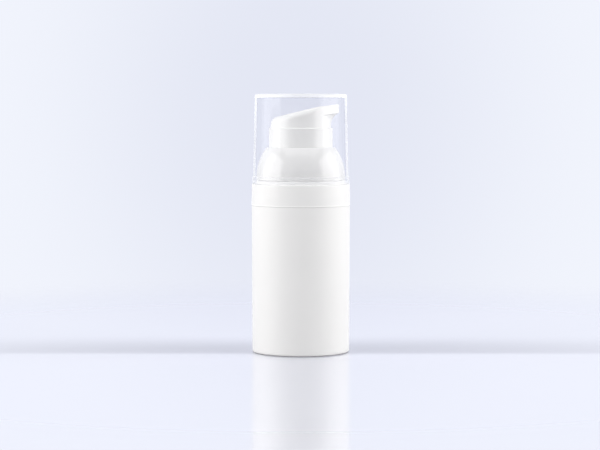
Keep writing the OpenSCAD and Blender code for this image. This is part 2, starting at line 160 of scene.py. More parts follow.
# How far the ribs and the channel's tube reach into their neighbours, and the channel's cutter past the spout
WALL_SINK = 0.4
BOSS_SINK = 0.6
ROOF_SINK = 0.3
OVERSHOOT = 1.0

# Angles between faces past which an edge stays sharp
HEAD_CREASE = math.radians(58)
RIB_CREASE = math.radians(30)

# Return spring
SPRING_FOOT = foot_of("return_spring")
SPRING_TOP = top_of("return_spring")
WIRE_R = 0.35
SPRING_R = reach_of("return_spring") - WIRE_R
SPRING_TURNS = 7
END_TURN_GAP = 0.45

# Overcap
CAP_TOP = top_of("overcap")
CAP_LIP_R = reach_of("overcap")
CAP_TOP_T = 1.05
CAP_WALL = 0.95
CAP_GAP = 0.16
CAP_DRAFT = math.radians(1.25)
CAP_ROUND = 0.7
CAP_LIP_H = 2.6
CAP_GRIP_H = 1.3

# Rounding of outlines: the share of a side that a corner may take, the turn of one step of its arc, and how
# far from the arc the point lies that keeps the flat beside it flat
CORNER_SHARE = 0.48
ARC_STEP = math.radians(11)
HOLD_OF_RADIUS = 0.35
HOLD_OF_SIDE = 0.02

# Sides of turned pieces and rods, and the distance in millimetres at which a turned piece's points are welded
FINE_SIDES = 192
PLAIN_SIDES = 144
ROD_SIDES = 48
WELD = 0.0015

# Distance in millimetres under which two points of any mesh are doubles
DOUBLE = 0.0001


class Wire:
    """A socket of a node tree. Arithmetic on it adds Math nodes."""

    def __init__(self, bench, socket):
        self.bench = bench
        self.socket = socket

    def maths(self, operation, first, second):
        """The result of one Math node."""
        node = self.bench.add("ShaderNodeMath", {"operation": operation}, {0: first, 1: second})
        return self.bench.out(node)

    def __add__(self, other):
        return self.maths("ADD", self, other)

    def __radd__(self, other):
        return self.maths("ADD", other, self)

    def __sub__(self, other):
        return self.maths("SUBTRACT", self, other)

    def __rsub__(self, other):
        return self.maths("SUBTRACT", other, self)

    def __mul__(self, other):
        return self.maths("MULTIPLY", self, other)

    def __rmul__(self, other):
        return self.maths("MULTIPLY", other, self)

    def __truediv__(self, other):
        return self.maths("DIVIDE", self, other)

    def __rtruediv__(self, other):
        return self.maths("DIVIDE", other, self)

    def __gt__(self, other):
        return self.maths("GREATER_THAN", self, other)

    def __lt__(self, other):
        return self.maths("LESS_THAN", self, other)

    def of(self, operation, other=0.0):
        """Any other Math operation on this socket, such as SINE or FLOOR."""
        return self.maths(operation, self, other)

    def smooth(self, start, end):
        """A smooth step from 0 at start to 1 at end."""
        node = self.bench.add(
            "ShaderNodeMapRange",
            {"interpolation_type": "SMOOTHSTEP"},
            {"Value": self, "From Min": start, "From Max": end},
        )
        return self.bench.out(node)


class Bench:
    """One node tree, and the one method that adds any node to it."""

    def __init__(self, tree):
        self.tree = tree

    def add(self, kind, settings=None, sockets=None):
        """A node of this kind. Its settings are set first, then its sockets get their values or links."""
        node = self.tree.nodes.new(kind)
        for name, value in (settings or {}).items():
            setattr(node, name, value)
        for name, value in (sockets or {}).items():
            self.feed(node.inputs[name], value)
        return node

    def feed(self, socket, value):
        """Links a wire to a socket, or sets its value."""
        if isinstance(value, Wire):
            self.tree.links.new(value.socket, socket)
        else:
            socket.default_value = value

    def out(self, node, name=0):
        """A node's output, by name or number."""
        return Wire(self, node.outputs[name])


# Finishes: each function makes one material


def new_material(name):
    """A material with an empty tree, and its bench."""
    made = bpy.data.materials.new(name)
    made.use_nodes = True
    made.node_tree.nodes.clear()
    return made, Bench(made.node_tree)


def object_place(bench, scale=(1.0, 1.0, 1.0)):
    """The point on the piece, in metres in the shared frame, times scale."""
    place = bench.out(bench.add("ShaderNodeTexCoord"), "Object")
    node = bench.add("ShaderNodeMapping", {"vector_type": "POINT"}, {"Vector": place, "Scale": scale})
    return bench.out(node)


def noise(bench, place, size, detail, roughness=0.5):
    """Noise whose blobs are about size metres across, 0 to 1."""
    node = bench.add(
        "ShaderNodeTexNoise",
        {"noise_dimensions": "3D"},
        {"Vector": place, "Scale": 1 / size, "Detail": detail, "Roughness": roughness},
    )
    return bench.out(node, "Fac")


def tint(bench, share, dark, light):
    """A colour between dark and light. Sockets 6 and 7 are the Mix node's two colours, and output 2 is
    their mix."""
    node = bench.add(
        "ShaderNodeMix",
        {"data_type": "RGBA"},
        {"Factor": share, 6: (*dark, 1), 7: (*light, 1)},
    )
    return bench.out(node, 2)


def bump(bench, height, distance):
    """A normal from a height of 0 to 1 that stands for distance metres."""
    return bench.out(bench.add("ShaderNodeBump", {}, {"Height": height, "Distance": distance}))


def blend_shaders(bench, share, first, second):
    """A mix of two shaders, where share is that of the second."""
    return bench.add("ShaderNodeMixShader", {}, {0: share, 1: bench.out(first), 2: bench.out(second)})


def close_surface(bench, shader):
    """The material's output."""
    bench.add("ShaderNodeOutputMaterial", {}, {"Surface": bench.out(shader)})


def moulded_plastic(name, dark, light, roughness, spread, grain, depth, constants):
    """Moulded plastic: a faint drift between two shades and in sheen, and the grain of its mould, whose size
    and depth are in metres. Constants are the shader's inputs that don't vary."""
    made, bench = new_material(name)
    place = object_place(bench)
    drift = noise(bench, place, size=0.012, detail=3.0)
    mottle = noise(bench, place, size=0.0016, detail=4.0)
    texture = noise(bench, place, size=grain, detail=3.0, roughness=0.6)
    sheen = roughness + spread * (mottle - 0.5) + spread * (texture - 0.5)
    shader = bench.add(
        "ShaderNodeBsdfPrincipled",
        {},
        {
            "Base Color": tint(bench, drift, dark, light),
            "Roughness": sheen,
            "Normal": bump(bench, texture, depth),
            **constants,
        },
    )
    close_surface(bench, shader)
    return made


def satin_body_white():
    """Satin white of the bottle's body."""
    return moulded_plastic(
        "satin_body_white",
        dark=(0.835, 0.835, 0.835),
        light=(0.86, 0.86, 0.858),
        roughness=0.4,
        spread=0.06,
        grain=0.00022,
        depth=0.000003,
        constants={"IOR": 1.5, "Specular IOR Level": 0.25},
    )


def collar_band_white():
    """Semi-gloss white with a painted highlight: a paler line along its foot."""
    made, bench = new_material("collar_band_white")
    place = object_place(bench)
    height = bench.out(bench.add("ShaderNodeSeparateXYZ", {}, {0: place}), "Z")
    drift = noise(bench, place, size=0.012, detail=3.0)
    texture = noise(bench, place, size=0.0003, detail=3.0, roughness=0.6)
    # Painted highlight: the collar's foot is painted paler, like a seam edge that catches the light
    painted_foot_highlight = 1 - height.smooth((COLLAR_FOOT_Z + FOOT_HIGHLIGHT_FULL) * MM, (COLLAR_FOOT_Z + FOOT_HIGHLIGHT_END) * MM)
    shade = (0.3 * drift).of("MAXIMUM", painted_foot_highlight)
    shader = bench.add(
        "ShaderNodeBsdfPrincipled",
        {},
        {
            "Base Color": tint(bench, shade, (0.84, 0.84, 0.84), (0.96, 0.96, 0.958)),
            "Roughness": 0.24 + 0.04 * texture,
            "Normal": bump(bench, texture, 0.0000016),
            "IOR": 1.5,
            "Specular IOR Level": 0.25,
        },
    )
    close_surface(bench, shader)
    return made


def gloss_head_white():
    """Soft gloss of the pump head."""
    return moulded_plastic(
        "gloss_head_white",
        dark=(0.83, 0.83, 0.83),
        light=(0.85, 0.85, 0.848),
        roughness=0.24,
        spread=0.03,
        grain=0.0012,
        depth=0.0000012,
        constants={"IOR": 1.5, "Specular IOR Level": 0.55, "Coat Weight": 0.12, "Coat Roughness": 0.12},
    )


def gloss_dome_white():
    """High gloss of the dome, which mirrors the lamps."""
    return moulded_plastic(
        "gloss_dome_white",
        dark=(0.79, 0.79, 0.79),
        light=(0.81, 0.81, 0.808),
        roughness=0.05,
        spread=0.015,
        grain=0.0014,
        depth=0.000001,
        constants={"IOR": 1.5, "Specular IOR Level": 0.5, "Coat Weight": 0.7, "Coat Roughness": 0.0},
    )


def milky_moulding():
    """Natural, slightly milky plastic of the base plug and the pump's hidden mouldings."""
    return moulded_plastic(
        "milky_moulding",
        dark=(0.76, 0.76, 0.73),
        light=(0.82, 0.82, 0.795),
        roughness=0.38,
        spread=0.08,
        grain=0.0005,
        depth=0.000004,
        constants={"IOR": 1.51, "Subsurface Weight": 0.15, "Subsurface Scale": 0.001},
    )


def piston_moulding():
    """Softer, waxier plastic of the follower and the wiper."""
    return moulded_plastic(
        "piston_moulding",
        dark=(0.80, 0.79, 0.75),
        light=(0.86, 0.85, 0.82),
        roughness=0.48,
        spread=0.08,
        grain=0.0008,
        depth=0.000006,
        constants={"IOR": 1.52, "Subsurface Weight": 0.2, "Subsurface Scale": 0.001},
    )


def foam_gasket():
    """Light grey foamed gasket with open cells."""
    made, bench = new_material("foam_gasket")
    place = object_place(bench)
    cells = bench.out(
        bench.add("ShaderNodeTexVoronoi", {"feature": "F1"}, {"Vector": place, "Scale": 5000.0}),
        "Distance",
    )
    shader = bench.add(
        "ShaderNodeBsdfPrincipled",
        {},
        {
            "Base Color": tint(bench, cells, (0.6, 0.6, 0.6), (0.76, 0.76, 0.76)),
            "Roughness": 0.8 + 0.12 * cells,
            "Normal": bump(bench, cells, 0.00005),
        },
    )
    close_surface(bench, shader)
    return made


def drawn_steel():
    """Bright drawn wire, with fine die lines."""
    made, bench = new_material("drawn_steel")
    lines = noise(bench, object_place(bench, (1.0, 1.0, 14.0)), size=0.0009, detail=5.0, roughness=0.7)
    shader = bench.add(
        "ShaderNodeBsdfPrincipled",
        {},
        {
            "Base Color": tint(bench, lines, (0.52, 0.52, 0.54), (0.7, 0.7, 0.72)),
            "Roughness": 0.22 + 0.2 * lines,
            "Normal": bump(bench, lines, 0.000008),
            "Metallic": 1.0,
        },
    )
    close_surface(bench, shader)
    return made


def ground_steel():
    """The ball's ground and polished steel, with faint lapping marks."""
    made, bench = new_material("ground_steel")
    marks = noise(bench, object_place(bench), size=0.00025, detail=6.0, roughness=0.65)
    shader = bench.add(
        "ShaderNodeBsdfPrincipled",
        {},
        {
            "Base Color": tint(bench, marks, (0.62, 0.62, 0.64), (0.74, 0.74, 0.76)),
            "Roughness": 0.08 + 0.1 * marks,
            "Normal": bump(bench, marks, 0.000002),
            "Metallic": 1.0,
        },
    )
    close_surface(bench, shader)
    return made


def clear_wall(bench, place):
    """The overcap's wall seen face on: straight through, with a faint sheen that its flow marks wave."""
    flow = noise(bench, object_place(bench, (1.0, 1.0, 0.35)), size=0.006, detail=2.0)
    haze = noise(bench, place, size=0.0007, detail=4.0)
    straight = bench.add("ShaderNodeBsdfTransparent", {}, {"Color": (0.988, 0.988, 0.992, 1)})
    sheen = bench.add(
        "ShaderNodeBsdfPrincipled",
        {},
        {
            "Base Color": (0.975, 0.98, 0.99, 1),
            "Roughness": 0.03 + 0.03 * haze,
            "Normal": bump(bench, flow, 0.000006),
            "Metallic": 1.0,
        },
    )
    sheen_share = 0.016
    return blend_shaders(bench, sheen_share, straight, sheen)


def painted_edge_white(bench):
    """Painted light: the white painted on the overcap's edges, lit from in front and from behind."""
    white = (0.95, 0.962, 0.99, 1)
    lit = bench.add("ShaderNodeBsdfDiffuse", {}, {"Color": white})
    shone_through = bench.add("ShaderNodeBsdfTranslucent", {}, {"Color": white})
    return blend_shaders(bench, 0.5, lit, shone_through)


def cap_painted_shade_line(z, from_axis, outer, turned_away):
    """Share of painted shade: a grey line along the wall's inner side and in the corner under its roof."""
    roof = CAP_TOP - CAP_TOP_T
    corner = z.smooth((roof - 0.5) * MM, (roof - 0.25) * MM)
    corner = corner * from_axis.smooth((RING_R - 1.4) * MM, (RING_R - 0.9) * MM)
    return 0.7 * ((1 - outer) * turned_away.smooth(0.85, 0.97).of("MAXIMUM", 0.45 * corner))


def cap_painted_light(z, from_axis, outer, turned_away):
    """Share of painted light: white painted on the wall's rims, its lip and the line over the lip, and the
    thick top edge.
    """
    step_z = (LEDGE_Z + CAP_LIP_H) * MM
    lip_painted_light = 0.12 * (z < step_z) + 0.22 * (z < (LEDGE_Z + CAP_GRIP_H) * MM)
    step_painted_highlight = 0.35 * z.smooth(step_z - 0.4 * MM, step_z - 0.2 * MM) * (z < step_z + 0.05 * MM)
    rim_painted_white = outer * (turned_away.smooth(0.63, 0.75) * 0.34).of("MAXIMUM", lip_painted_light + step_painted_highlight)
    top_edge_painted_white = z.smooth((CAP_TOP - 1.3) * MM, (CAP_TOP - 1.1) * MM)
    top_edge_painted_white = top_edge_painted_white * from_axis.smooth((RING_R - 0.9) * MM, (RING_R - 0.3) * MM) * 0.96
    return rim_painted_white.of("MAXIMUM", top_edge_painted_white)


def clear_cap_plastic():
    """Polished clear plastic. Seen face on it is almost clear. Its wall's rims, lip and thick top edge are
    painted white as painted light, and a painted shade line runs along its inner side. Lamps and soft light
    pass it unbent, so what it covers is lit."""
    made, bench = new_material("clear_cap_plastic")
    place = object_place(bench)
    split = bench.add("ShaderNodeSeparateXYZ", {}, {0: place})
    x, y, z = (bench.out(split, axis) for axis in "XYZ")
    from_axis = (x * x + y * y).of("SQRT")
    wall_middle = (RING_R + CAP_GAP + CAP_WALL / 2) * MM
    lean_in = (z - (LEDGE_Z + CAP_LIP_H) * MM).of("MAXIMUM", 0.0) * math.tan(CAP_DRAFT)
    outer = (from_axis > wall_middle - lean_in).of("MAXIMUM", z > (CAP_TOP - CAP_TOP_T / 2) * MM)
    turned_away = bench.out(bench.add("ShaderNodeLayerWeight", {}, {"Blend": 0.5}), "Facing")

    # Painted shade: a grey see-through tint along the wall's inner side and in the corner under the roof
    shade = bench.add("ShaderNodeBsdfTransparent", {}, {"Color": (0.72, 0.74, 0.8, 1)})
    painted_shade_share = cap_painted_shade_line(z, from_axis, outer, turned_away)
    lined = blend_shaders(bench, painted_shade_share, clear_wall(bench, place), shade)
    # Painted light: white painted on the rims, the lip, the line over the lip and the top edge
    painted_light_share = cap_painted_light(z, from_axis, outer, turned_away)
    seen = blend_shaders(bench, painted_light_share, lined, painted_edge_white(bench))

    window = bench.add("ShaderNodeBsdfTransparent", {}, {"Color": (0.99, 0.992, 0.995, 1)})
    path = bench.add("ShaderNodeLightPath")
    lit_through = blend_shaders(bench, bench.out(path, "Is Diffuse Ray"), seen, window)
    close_surface(bench, blend_shaders(bench, bench.out(path, "Is Shadow Ray"), lit_through, window))
    return made


# Outlines, trees and meshes


def rounded(corners, closed=True):
    """Points of an outline in millimetres, from corners (r, z, rounding). Each rounding becomes an arc, with
    a point close to either end that keeps the flat beside it flat. A closed outline ends where it starts."""
    points = []
    count = len(corners)
    for i, (r, z, rounding) in enumerate(corners):
        here = Vector((r, z))
        if not closed and i in (0, count - 1):
            points.append(here)
            continue
        before = Vector(corners[i - 1][:2]) - here
        after = Vector(corners[(i + 1) % count][:2]) - here
        inside = before.angle(after)
        if rounding <= 0 or inside > math.pi - 0.02:
            points.append(here)
            continue
        shorter = min(before.length, after.length)
        before.normalize()
        after.normalize()
        tangent = min(rounding / math.tan(inside / 2), CORNER_SHARE * shorter)
        radius = tangent * math.tan(inside / 2)
        start = here + before * tangent
        end = here + after * tangent
        middle = here + (before + after).normalized() * (radius / math.sin(inside / 2))
        hold = min(HOLD_OF_RADIUS * radius, HOLD_OF_SIDE * shorter)
        points.append(start + before * hold)
        arm = start - middle
        sweep = arm.angle_signed(end - middle)
        steps = max(3, math.ceil(abs(sweep) / ARC_STEP))
        for k in range(steps + 1):
            a = -sweep * k / steps
            across = arm.x * math.cos(a) - arm.y * math.sin(a)
            up = arm.x * math.sin(a) + arm.y * math.cos(a)
            points.append(middle + Vector((across, up)))
        points.append(end + after * hold)
    if closed:
        points.append(points[0].copy())
    return points


def arc(middle, radius, start, end, steps):
    """Points (r, z) on an arc from the angle start to end, in radians."""
    return [
        Vector((middle[0] + radius * math.cos(a), middle[1] + radius * math.sin(a)))
        for a in (start + (end - start) * k / steps for k in range(steps + 1))
    ]


def tree_with(name, inputs):
    """A new geometry tree with the named inputs besides its geometry, its bench and its group input."""
    tree = bpy.data.node_groups.new(name, "GeometryNodeTree")
    tree.interface.new_socket("Geometry", in_out="INPUT", socket_type="NodeSocketGeometry")
    for label, kind in inputs:
        tree.interface.new_socket(label, in_out="INPUT", socket_type="NodeSocket" + kind)
    tree.interface.new_socket("Geometry", in_out="OUTPUT", socket_type="NodeSocketGeometry")
    bench = Bench(tree)
    return tree, bench, bench.add("NodeGroupInput")


def finish_tree(bench, given, shape):
    """The end of every tree: real geometry, smooth, in its material."""
    smooth = bench.add("GeometryNodeSetShadeSmooth", {}, {"Geometry": shape})
    real = bench.add("GeometryNodeRealizeInstances", {}, {"Geometry": bench.out(smooth)})
    painted = bench.add(
        "GeometryNodeSetMaterial", {}, {"Geometry": bench.out(real), "Material": bench.out(given, "Finish")}
    )
    bench.add("NodeGroupOutput", {}, {"Geometry": bench.out(painted)})


def point(bench, x=0.0, y=0.0, z=0.0):
    """A vector from numbers or sockets."""
    return bench.out(bench.add("ShaderNodeCombineXYZ", {}, {0: x, 1: y, 2: z}))


def turning_tree():
    """Turns an outline, the points of the piece's mesh in order, round the bottle's axis."""
    inputs = [("Sides", "Int"), ("Weld", "Float"), ("Finish", "Material")]
    tree, bench, given = tree_with("turned_piece", inputs)
    outline = bench.out(given, "Geometry")
    sides = bench.out(given, "Sides")
    size = bench.add("GeometryNodeAttributeDomainSize", {"component": "MESH"}, {"Geometry": outline})
    count = bench.out(size, "Point Count")
    grid = bench.add("GeometryNodeMeshGrid", {}, {"Vertices X": sides + 1, "Vertices Y": count})
    index = bench.out(bench.add("GeometryNodeInputIndex"))
    column = (index / count).of("FLOOR")
    row = index - column * count
    sample = bench.add(
        "GeometryNodeSampleIndex",
        {"data_type": "FLOAT_VECTOR", "domain": "POINT"},
        {"Geometry": outline, "Value": bench.out(bench.add("GeometryNodeInputPosition")), "Index": row},
    )
    split = bench.add("ShaderNodeSeparateXYZ", {}, {0: bench.out(sample)})
    reach = bench.out(split, "X")
    angle = column * TURN / sides
    place = point(bench, reach * angle.of("COSINE"), reach * angle.of("SINE"), bench.out(split, "Z"))
    moved = bench.add("GeometryNodeSetPosition", {}, {"Geometry": bench.out(grid), "Position": place})
    weld = bench.out(given, "Weld")
    welded = bench.add("GeometryNodeMergeByDistance", {}, {"Geometry": bench.out(moved), "Distance": weld})
    finish_tree(bench, given, bench.out(welded))
    return tree


def spring_tree():
    """A round wire along a coil whose two end turns lie close and whose other turns climb alike."""
    sizes = ["Coil radius", "Wire radius", "Foot", "Top", "Turns", "End pitch"]
    inputs = [(label, "Float") for label in sizes]
    inputs += [("Steps per turn", "Int"), ("Sides", "Int"), ("Finish", "Material")]
    tree, bench, given = tree_with("wound_spring", inputs)
    radius, wire, foot, top, turns, end_pitch = (bench.out(given, label) for label in sizes)
    steps = bench.out(given, "Steps per turn")
    line = bench.add("GeometryNodeMeshLine", {}, {"Count": steps * turns + 1})
    turn = bench.out(bench.add("GeometryNodeInputIndex")) / steps
    rise = top - foot - 2 * wire
    pitch = (rise - 2 * end_pitch) / (turns - 2)
    low = turn.of("MINIMUM", 1.0)
    high = (turn - (turns - 1)).of("MAXIMUM", 0.0)
    climb = end_pitch * (low + high) + pitch * (turn - low - high)
    angle = turn * TURN
    place = point(bench, radius * angle.of("COSINE"), radius * angle.of("SINE"), foot + wire + climb)
    coil = bench.add("GeometryNodeSetPosition", {}, {"Geometry": bench.out(line), "Position": place})
    path = bench.add("GeometryNodeMeshToCurve", {}, {"Mesh": bench.out(coil)})
    upright = bench.add("GeometryNodeSetCurveNormal", {}, {"Curve": bench.out(path)})
    section = bench.add(
        "GeometryNodeCurvePrimitiveCircle", {}, {"Resolution": bench.out(given, "Sides"), "Radius": wire}
    )
    tube = bench.add(
        "GeometryNodeCurveToMesh",
        {},
        {"Curve": bench.out(upright), "Profile Curve": bench.out(section), "Fill Caps": True},
    )
    finish_tree(bench, given, bench.out(tube))
    return tree


def rib_tree():
    """Upright ribs round the axis, from the boss to the cavity's wall. Their tops follow the slanted roof."""
    sizes = ["Inner reach", "Outer reach", "Thickness", "Foot", "Roof", "Slope"]
    inputs = [(label, "Float") for label in sizes] + [("Count", "Int"), ("Finish", "Material")]
    tree, bench, given = tree_with("head_ribs", inputs)
    inner, outer, thickness, foot, roof, slope = (bench.out(given, label) for label in sizes)
    count = bench.out(given, "Count")
    size = point(bench, outer - inner, thickness, roof - foot)
    block = bench.add("GeometryNodeMeshCube", {}, {"Size": size, "Vertices X": 6, "Vertices Z": 4})
    middle = point(bench, x=(outer + inner) / 2, z=(roof + foot) / 2)
    rib = bench.add("GeometryNodeTransform", {}, {"Geometry": bench.out(block), "Translation": middle})
    line = bench.add("GeometryNodeMeshLine", {}, {"Count": count, "Offset": (0, 0, 0)})
    index = bench.out(bench.add("GeometryNodeInputIndex"))
    turn = point(bench, z=(index + 0.5) * TURN / count)
    fans = bench.add(
        "GeometryNodeInstanceOnPoints",
        {},
        {"Points": bench.out(line), "Instance": bench.out(rib), "Rotation": turn},
    )
    real = bench.add("GeometryNodeRealizeInstances", {}, {"Geometry": bench.out(fans)})
    split = bench.add("ShaderNodeSeparateXYZ", {}, {0: bench.out(bench.add("GeometryNodeInputPosition"))})
    height = bench.out(split, "Z")
    share = (height - foot) / (roof - foot)
    lift = point(bench, z=share * slope * bench.out(split, "X"))
    slanted = bench.add("GeometryNodeSetPosition", {}, {"Geometry": bench.out(real), "Offset": lift})
    finish_tree(bench, given, bench.out(slanted))
    return tree


def frozen(piece):
    """The piece's mesh with its modifiers applied."""
    bpy.context.view_layer.update()
    return bpy.data.meshes.new_from_object(piece.evaluated_get(bpy.context.evaluated_depsgraph_get()))


def grow(name, mesh, tree, values):
    """Runs a tree on a mesh with the named inputs set, and returns the finished piece as a plain mesh."""
    seed = bpy.data.objects.new(name + "_seed", mesh)
    bpy.context.scene.collection.objects.link(seed)
    modifier = seed.modifiers.new(name, "NODES")
    modifier.node_group = tree
    for item in tree.interface.items_tree:
        if item.item_type == "SOCKET" and item.in_out == "INPUT" and item.name in values:
            modifier[item.identifier] = values[item.name]
    seed.update_tag()
    made = frozen(seed)
    seed.modifiers.remove(modifier)
    bpy.data.objects.remove(seed)
    made.name = name
    return shown(name, made)


def shown(name, mesh):
    """An object of this mesh in the scene."""
    piece = bpy.data.objects.new(name, mesh)
    bpy.context.scene.collection.objects.link(piece)
    return piece


def face_outwards(mesh):
    """Merges doubles, then turns every face outwards."""
    work = bmesh.new()
    work.from_mesh(mesh)
    bmesh.ops.remove_doubles(work, verts=work.verts, dist=DOUBLE * MM)
    bmesh.ops.recalc_face_normals(work, faces=work.faces)
    work.to_mesh(mesh)
    work.free()
    mesh.update()


def turned(name, points, material, sides=PLAIN_SIDES):
    """A piece turned from an outline in millimetres."""
    mesh = bpy.data.meshes.new(name)
    mesh.from_pydata([(p[0] * MM, 0, p[1] * MM) for p in points], [], [])
    piece = grow(name, mesh, TURNING, {"Sides": sides, "Weld": WELD * MM, "Finish": material})
    face_outwards(piece.data)
    return piece


def dress(piece, body, slot, *nodes):
    """The piece rides on its body and stands for its nodes, which are hidden. Its slot is not used."""
    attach(piece, body)
    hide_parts(*nodes)
    return piece


def make_body(material):
    """The body with its neck, its rounded foot and the groove that the base plug's bead snaps into."""
    outline = rounded(
        [
            (BORE_R, 0, EDGE),
            (FOOT_R, 0, FOOT_ROUND),
            (BODY_R, SHOULDER_Z, FINE_EDGE),
            (NECK_R, SHOULDER_Z, FINE_EDGE),
            (NECK_R, RIM_Z, EDGE),
            (BORE_R, RIM_Z, EDGE),
            (BORE_R, PLUG_MID + 2 * BEAD_R, FINE_EDGE),
            (BORE_R + BEAD_R, PLUG_MID, BEAD_R),
            (BORE_R, PLUG_MID - 2 * BEAD_R, FINE_EDGE),
        ]
    )
    piece = turned("bottle_body_satin", outline, material, FINE_SIDES)
    return dress(piece, "bottle", "body_white", "bottle_body")


def make_base_plug(material):
    """The disc in the body's foot, with its bead and its vent hole."""
    plug_r = BORE_R - FIT
    outline = rounded(
        [
            (VENT_R, PLUG_LOW, FINE_EDGE),
            (plug_r, PLUG_LOW, EDGE),
            (plug_r, PLUG_MID - BEAD_R, FINE_EDGE),
            (plug_r + BEAD_R - FIT, PLUG_MID, BEAD_R),
            (plug_r, PLUG_MID + BEAD_R, FINE_EDGE),
            (plug_r, PLUG_TOP, EDGE),
            (VENT_R, PLUG_TOP, FINE_EDGE),
        ]
    )
    piece = turned("base_plug_moulded", outline, material)
    return dress(piece, "bottle", "moulded_natural", "base_plug")


def make_collar(material):
    """The band, its plate over the body's rim, the neck ring and the tongue inside the dome."""
    plate_low = LEDGE_Z - PLATE_T
    neck = NECK_R + FIT
    tongue_r = RING_R - DOME_WALL - FIT
    outline = rounded(
        [
            (neck, SHOULDER_Z, FINE_EDGE),
            (COLLAR_FOOT_R - SEAM_DEPTH, SHOULDER_Z, 0),
            (COLLAR_FOOT_R - SEAM_DEPTH, COLLAR_FOOT_Z, 0),
            (COLLAR_FOOT_R, COLLAR_FOOT_Z, FINE_EDGE),
            (COLLAR_TOP_R, LEDGE_Z, EDGE),
            (RING_R, LEDGE_Z, FINE_EDGE),
            (RING_R, RING_Z, EDGE),
            (tongue_r, RING_Z, FINE_EDGE),
            (tongue_r, TONGUE_TOP, FINE_EDGE),
            (RING_R - RING_WALL, TONGUE_TOP, FINE_EDGE),
            (RING_R - RING_WALL, LEDGE_Z, FINE_EDGE),
            (PLATE_HOLE_R, LEDGE_Z, FINE_EDGE),
            (PLATE_HOLE_R, plate_low, FINE_EDGE),
            (neck, plate_low, FINE_EDGE),
        ]
    )
    piece = turned("collar_band", outline, material, FINE_SIDES)
    return dress(piece, "bottle", "collar_white", "collar")


def make_dome(material):
    """The domed shell: a short upright foot, an arc up to the lip, and an inner arc one wall inside it."""
    side_z = DOME_Z + DOME_FOOT_H
    hole_r = SKIRT_R + SKIRT_GAP
    lip_r = hole_r + DOME_LIP_W
    rise = DOME_TOP - side_z
    run = RING_R - lip_r
    radius = (rise * rise + run * run) / (2 * run)
    middle = (RING_R - radius, side_z)
    outer_end = math.asin(rise / radius)
    inner_r = radius - DOME_WALL
    inner_end = math.acos((hole_r - middle[0]) / inner_r)
    foot = rounded(
        [
            (RING_R - DOME_WALL, side_z, 0),
            (RING_R - DOME_WALL, RING_Z, 0),
            (RING_R - SEAM_DEPTH, RING_Z, 0),
            (RING_R - SEAM_DEPTH, DOME_Z, 0),
            (RING_R, DOME_Z, DOME_FOOT_ROUND),
            (RING_R, side_z, 0),
        ],
        closed=False,
    )
    outer = arc(middle, radius, 0, outer_end, steps=40)
    rim = rounded(
        [
            (*outer[-2], 0),
            (lip_r, DOME_TOP, EDGE),
            (hole_r, DOME_TOP, EDGE),
            (hole_r, middle[1] + inner_r * math.sin(inner_end), 0),
        ],
        closed=False,
    )
    inner = arc(middle, inner_r, inner_end, 0, steps=30)
    outline = foot + outer[1:-2] + rim + inner[1:]
    piece = turned("dome_shroud_gloss", outline, material, FINE_SIDES)
    return dress(piece, "bottle", "gloss_white", "dome_shroud")


def make_overcap(material):
    """The clear cap: a tapered wall under a roof, a thicker lip on the ledge and a grip inside it."""
    lean = math.tan(CAP_DRAFT)
    side_z = LEDGE_Z + CAP_LIP_H
    in_r = RING_R + CAP_GAP
    side_r = in_r + CAP_WALL
    roof = CAP_TOP - CAP_TOP_T
    top_r = side_r - (CAP_TOP - side_z) * lean
    roof_r = in_r - (roof - side_z) * lean
    grip_r = RING_R + SLIDE
    outline = rounded(
        [
            (0, roof, 0),
            (roof_r, roof, EDGE),
            (in_r, side_z, FINE_EDGE),
            (grip_r, LEDGE_Z + CAP_GRIP_H, FINE_EDGE),
            (grip_r, LEDGE_Z, FINE_EDGE),
            (CAP_LIP_R, LEDGE_Z, EDGE),
            (CAP_LIP_R, side_z, EDGE),
            (side_r, side_z, FINE_EDGE),
            (top_r, CAP_TOP, CAP_ROUND),
            (0, CAP_TOP, 0),
        ],
        closed=False,
    )
    piece = turned("overcap_clear", outline, material, FINE_SIDES)
    return dress(piece, "cap", "clear_plastic", "overcap")


# Pump head


def rest_height(x):
    """Height of the finger rest at x: a straight slope, then an arc that flattens over the spout."""
    bend_z = AXIS_TOP + BEND_X * math.tan(SLOPE)
    if x < BEND_X:
        return AXIS_TOP + x * math.tan(SLOPE)
    middle_x = BEND_X + BEND_R * math.sin(SLOPE)
    return bend_z - BEND_R * math.cos(SLOPE) + math.sqrt(BEND_R**2 - (x - middle_x) ** 2)


TIP_TOP = rest_height(SPOUT_REACH)
TIP_Z = TIP_TOP - SPOUT_H
UNDER_X = HEAD_R + UNDER_R
UNDER_Z = TIP_Z - math.sqrt(UNDER_R**2 - (UNDER_X - SPOUT_REACH) ** 2)
WALL_LOW = SKIRT_TOP - EDGE
WALL_TOP = TIP_TOP - TIP_ROUND
TIP_R = SPOUT_W / 2
ROOF_AT_AXIS = AXIS_TOP - HEAD_WALL - DISH
CHANNEL_FLOOR = TIP_Z + SPOUT_H / 2 - SPOUT_REACH * math.tan(SLOPE)


def wall_reach(z):
    """Reach of the head towards the spout at height z."""
    if z <= UNDER_Z:
        return HEAD_R
    if z >= TIP_Z:
        return SPOUT_REACH
    return UNDER_X - math.sqrt(max(UNDER_R**2 - (z - UNDER_Z) ** 2, 0))


def plan_point(a, far, inset=0.0):
    """A point of the plan round the head's circle and the spout's, where its normal has the angle a."""
    middle = far - TIP_R
    side = math.acos(min(1.0, (HEAD_R - TIP_R) / max(middle, 0.001)))
    if abs(a) <= side:
        return middle + (TIP_R - inset) * math.cos(a), (TIP_R - inset) * math.sin(a)
    return (HEAD_R - inset) * math.cos(a), (HEAD_R - inset) * math.sin(a)


